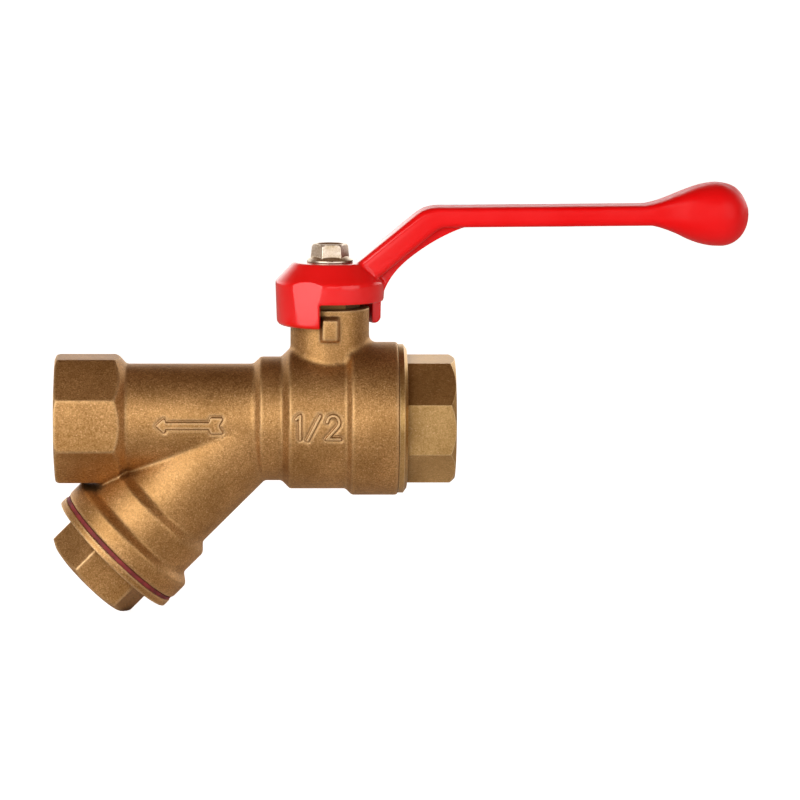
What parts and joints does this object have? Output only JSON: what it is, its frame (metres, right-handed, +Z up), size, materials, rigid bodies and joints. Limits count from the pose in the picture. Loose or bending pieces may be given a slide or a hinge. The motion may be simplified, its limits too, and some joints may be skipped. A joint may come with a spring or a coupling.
{
  "type": "ball_valve_with_y_strainer",
  "caption": "Half-inch brass ball valve with a built-in Y strainer: female threaded ends, red lever handle, hexagon strainer cap and a removable perforated steel screen.",
  "frame": {"origin": "Centre of the outlet mouth, on the pipe axis.", "axes": "+X runs along the pipe axis from the outlet mouth to the inlet mouth, against the flow. +Z points up along the stem. +Y points away from the side with the raised marks."},
  "size_m": [0.1468, 0.0324, 0.0919],
  "materials": {
    "cast_brass": "sand cast and shot blasted, fine grain",
    "machined_brass": "turned, dull shine",
    "chromed_brass": "polished hard chrome",
    "red_paint": "glossy thick paint on cast metal",
    "zinc_steel": "zinc plated, slightly yellow",
    "stainless_sheet": "rolled sheet",
    "white_plastic": "turned PTFE",
    "seal_rubber": "moulded nitrile rubber",
    "red_fibre": "pressed fibre sheet"
  },
  "bodies": {
    "body": {"valve_body": "cast_brass", "end_adapter": "machined_brass", "adapter_seal_ring": "seal_rubber", "outlet_seat_ring": "white_plastic", "inlet_seat_ring": "white_plastic", "stem_thrust_washer": "white_plastic", "stem_packing": "white_plastic", "packing_follower": "machined_brass", "gland_nut": "machined_brass"},
    "lever": {"lever_handle": "red_paint", "handle_screw": "zinc_steel", "stem": "machined_brass", "ball": "chromed_brass", "lower_stem_ring": "seal_rubber", "upper_stem_ring": "seal_rubber"},
    "strainer_set": {"cap_gasket": "red_fibre", "screen_mesh": "stainless_sheet", "screen_upper_rim": "stainless_sheet", "screen_lower_rim": "stainless_sheet"},
    "cap": {"strainer_cap": "cast_brass"}
  },
  "joints": [
    {"name": "lever_turn", "type": "hinge", "parent": "body", "child": "lever", "pos_m": [0.0578, 0, 0.03], "axis": [0, 0, 1], "range_deg": [-90, 0]},
    {"name": "cap_draw", "type": "slide", "parent": "body", "child": "strainer_set", "axis": [-0.7071, 0, -0.7071], "range_m": [0, 0.0075]},
    {"name": "cap_turn", "type": "hinge", "parent": "strainer_set", "child": "cap", "pos_m": [0.0409, 0, 0], "axis": [-0.7071, 0, -0.7071], "range_deg": [0, 1800]}
  ],
  "couplings": [
    {"joint": "cap_draw", "follows": "cap_turn", "m_per_rad": 0.00023873}
  ]
}
